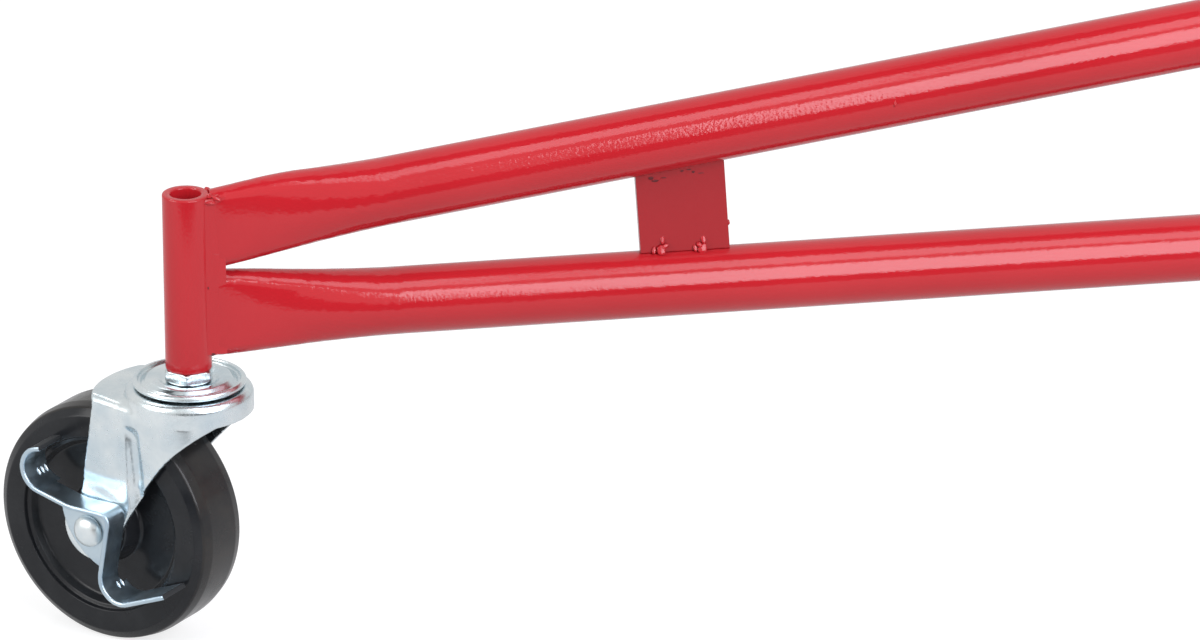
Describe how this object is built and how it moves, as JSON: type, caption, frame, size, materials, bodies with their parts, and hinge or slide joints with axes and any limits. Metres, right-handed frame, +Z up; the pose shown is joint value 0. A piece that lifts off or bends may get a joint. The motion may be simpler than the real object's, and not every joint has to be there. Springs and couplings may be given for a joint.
{
  "type": "drywall panel lift",
  "caption": "Free-standing drywall panel lift: welded tube legs on braked swivel casters, telescopic square mast with a hand-wheel winch, tilting cradle with sliding arms and panel hooks.",
  "frame": {"origin": "on the floor, on the mast's axis", "axes": "+Z up the mast, the rear leg (the pictured one) along -X, +Y to the lift's left"},
  "size_m": [1.056, 1.32, 1.3911],
  "materials": {
    "red_paint": "gloss",
    "zinc": "bright zinc plate",
    "black_plastic": "satin",
    "glide_plastic": "satin",
    "black_paint": "satin"
  },
  "bodies": {
    "base": {"hub_bottom_plate": "red_paint", "hub_top_plate": "red_paint", "mast_socket": "red_paint", "base_bolts": "zinc", "mast_outer": "red_paint", "mast_lower_collar": "glide_plastic", "winch_bracket": "red_paint", "rear_lower_tube": "red_paint", "rear_upper_tube": "red_paint", "rear_spacer_plate": "red_paint", "rear_caster_sleeve": "red_paint", "rear_hinge_barrel": "red_paint", "rear_caster_stem": "zinc", "rear_caster_cap": "zinc"},
    "rear_fork": {"rear_caster_fork": "zinc", "rear_axle_bolt": "zinc"},
    "rear_wheel": {"rear_caster_wheel": "black_plastic"},
    "rear_brake": {"rear_brake_lever": "zinc"},
    "left_leg": {"left_lower_tube": "red_paint", "left_upper_tube": "red_paint", "left_spacer_plate": "red_paint", "left_caster_sleeve": "red_paint", "left_hinge_barrel": "red_paint", "left_caster_stem": "zinc", "left_caster_cap": "zinc"},
    "left_knob": {"left_leg_knob": "black_plastic"},
    "left_fork": {"left_caster_fork": "zinc", "left_axle_bolt": "zinc"},
    "left_wheel": {"left_caster_wheel": "black_plastic"},
    "left_brake": {"left_brake_lever": "zinc"},
    "right_leg": {"right_lower_tube": "red_paint", "right_upper_tube": "red_paint", "right_spacer_plate": "red_paint", "right_caster_sleeve": "red_paint", "right_hinge_barrel": "red_paint", "right_caster_stem": "zinc", "right_caster_cap": "zinc"},
    "right_knob": {"right_leg_knob": "black_plastic"},
    "right_fork": {"right_caster_fork": "zinc", "right_axle_bolt": "zinc"},
    "right_wheel": {"right_caster_wheel": "black_plastic"},
    "right_brake": {"right_brake_lever": "zinc"},
    "mast_middle": {"mast_middle": "red_paint", "mast_upper_collar": "glide_plastic"},
    "mast_inner": {"mast_inner": "red_paint", "head_yoke": "red_paint", "tilt_pin": "zinc"},
    "winch": {"winch_drum": "zinc", "hand_wheel": "black_paint"},
    "wheel_grip": {"hand_wheel_grip": "black_plastic"},
    "winch_brake": {"winch_brake_lever": "zinc"},
    "cradle": {"cradle_beam": "red_paint", "front_cross_arm": "red_paint", "rear_cross_arm": "red_paint"},
    "front_left_extension": {"front_left_extension": "zinc"},
    "front_right_extension": {"front_right_extension": "zinc"},
    "rear_left_extension": {"rear_left_extension": "zinc"},
    "rear_right_extension": {"rear_right_extension": "zinc"},
    "left_hook": {"left_panel_hook": "red_paint"},
    "right_hook": {"right_panel_hook": "red_paint"}
  },
  "joints": [
    {"name": "rear_swivel", "type": "hinge", "parent": "base", "child": "rear_fork", "pos_m": [-0.64, 0, 0.1075], "axis": [0, 0, 1], "continuous": true},
    {"name": "rear_wheel_spin", "type": "hinge", "parent": "rear_fork", "child": "rear_wheel", "pos_m": [-0.66564, 0.02309, 0.05], "axis": [-0.6691, -0.7431, 0], "continuous": true},
    {"name": "rear_brake_rock", "type": "hinge", "parent": "rear_fork", "child": "rear_brake", "pos_m": [-0.66564, 0.02309, 0.05], "axis": [0.6691, 0.7431, 0], "range_deg": [0, 16]},
    {"name": "left_leg_fold", "type": "hinge", "parent": "base", "child": "left_leg", "pos_m": [0.0475, 0.08227, 0.12051], "axis": [0, 0, -1], "range_deg": [0, 60]},
    {"name": "left_knob_turn", "type": "hinge", "parent": "base", "child": "left_knob", "pos_m": [0.0475, 0.08227, 0.3], "axis": [0, 0, 1], "range_deg": [0, 180]},
    {"name": "left_swivel", "type": "hinge", "parent": "left_leg", "child": "left_fork", "pos_m": [0.32, 0.55426, 0.1075], "axis": [0, 0, 1], "continuous": true},
    {"name": "left_wheel_spin", "type": "hinge", "parent": "left_fork", "child": "left_wheel", "pos_m": [0.29436, 0.57734, 0.05], "axis": [-0.6691, -0.7431, 0], "continuous": true},
    {"name": "left_brake_rock", "type": "hinge", "parent": "left_fork", "child": "left_brake", "pos_m": [0.29436, 0.57734, 0.05], "axis": [0.6691, 0.7431, 0], "range_deg": [0, 16]},
    {"name": "right_leg_fold", "type": "hinge", "parent": "base", "child": "right_leg", "pos_m": [0.0475, -0.08227, 0.12051], "axis": [0, 0, 1], "range_deg": [0, 60]},
    {"name": "right_knob_turn", "type": "hinge", "parent": "base", "child": "right_knob", "pos_m": [0.0475, -0.08227, 0.3], "axis": [0, 0, 1], "range_deg": [0, 180]},
    {"name": "right_swivel", "type": "hinge", "parent": "right_leg", "child": "right_fork", "pos_m": [0.32, -0.55426, 0.1075], "axis": [0, 0, 1], "continuous": true},
    {"name": "right_wheel_spin", "type": "hinge", "parent": "right_fork", "child": "right_wheel", "pos_m": [0.29436, -0.53117, 0.05], "axis": [-0.6691, -0.7431, 0], "continuous": true},
    {"name": "right_brake_rock", "type": "hinge", "parent": "right_fork", "child": "right_brake", "pos_m": [0.29436, -0.53117, 0.05], "axis": [0.6691, 0.7431, 0], "range_deg": [0, 16]},
    {"name": "mast_lift", "type": "slide", "parent": "base", "child": "mast_middle", "axis": [0, 0, 1], "range_m": [0, 0.95]},
    {"name": "mast_inner_lift", "type": "slide", "parent": "mast_middle", "child": "mast_inner", "axis": [0, 0, 1], "range_m": [0, 0.95]},
    {"name": "winch_turn", "type": "hinge", "parent": "base", "child": "winch", "pos_m": [-0.092, 0, 0.8], "axis": [0, 1, 0], "range_deg": [0, 1950]},
    {"name": "grip_spin", "type": "hinge", "parent": "winch", "child": "wheel_grip", "pos_m": [-0.19099, 0.1, 0.89899], "axis": [0, 1, 0], "continuous": true},
    {"name": "winch_brake_rock", "type": "hinge", "parent": "base", "child": "winch_brake", "pos_m": [-0.0386, -0.0406, 0.764], "axis": [0, -1, 0], "range_deg": [0, 20], "stiffness_Nm_per_rad": 1.5},
    {"name": "cradle_tilt", "type": "hinge", "parent": "mast_inner", "child": "cradle", "pos_m": [0.05, 0, 1.27811], "axis": [0, 1, 0], "range_deg": [0, 75]},
    {"name": "front_left_extension_slide", "type": "slide", "parent": "cradle", "child": "front_left_extension", "axis": [0, 1, 0], "range_m": [0, 0.4]},
    {"name": "front_right_extension_slide", "type": "slide", "parent": "cradle", "child": "front_right_extension", "axis": [0, -1, 0], "range_m": [0, 0.4]},
    {"name": "rear_left_extension_slide", "type": "slide", "parent": "cradle", "child": "rear_left_extension", "axis": [0, 1, 0], "range_m": [0, 0.4]},
    {"name": "rear_right_extension_slide", "type": "slide", "parent": "cradle", "child": "rear_right_extension", "axis": [0, -1, 0], "range_m": [0, 0.4]},
    {"name": "left_hook_fold", "type": "hinge", "parent": "cradle", "child": "left_hook", "pos_m": [0.3143, 0.36, 1.34911], "axis": [0, 1, 0], "range_deg": [0, 90]},
    {"name": "right_hook_fold", "type": "hinge", "parent": "cradle", "child": "right_hook", "pos_m": [0.3143, -0.36, 1.34911], "axis": [0, 1, 0], "range_deg": [0, 90]}
  ],
  "couplings": [
    {"joint": "mast_inner_lift", "follows": "mast_lift", "ratio": 1},
    {"joint": "winch_turn", "follows": "mast_lift", "rad_per_m": 35.714}
  ]
}
